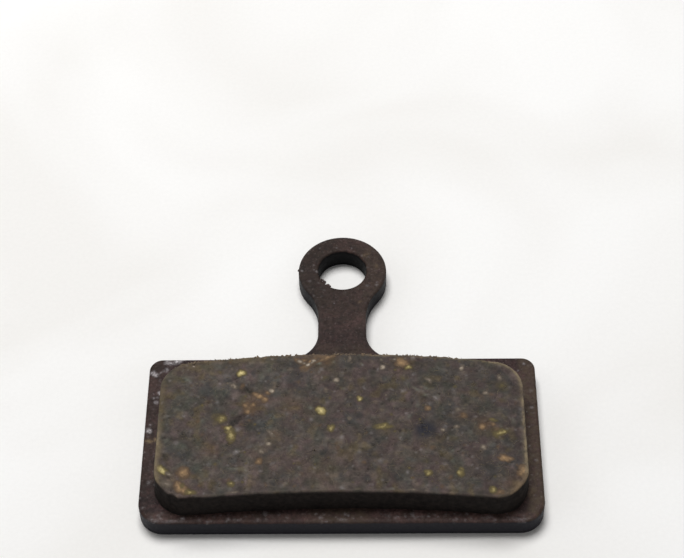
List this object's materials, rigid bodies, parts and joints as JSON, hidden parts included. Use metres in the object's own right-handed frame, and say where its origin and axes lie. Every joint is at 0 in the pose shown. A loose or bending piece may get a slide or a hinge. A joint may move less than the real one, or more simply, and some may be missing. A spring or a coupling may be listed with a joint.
{
  "type": "bicycle disc brake pad",
  "caption": "Flat steel backing plate with a pin eyelet on a narrow tab, carrying a moulded friction block that presses on a brake rotor.",
  "frame": {"origin": "centre of the pin hole at the back face of the steel plate", "axes": "+Z along the pin hole and out of the friction face, towards the rotor; +Y from the friction block towards the eyelet; +X across the pad's width"},
  "size_m": [0.029, 0.0264, 0.0037],
  "materials": {
    "plate_steel": "satin",
    "friction_compound": "matte"
  },
  "bodies": {
    "root": {"backing_plate": "plate_steel", "friction_block": "friction_compound"}
  },
  "joints": []
}
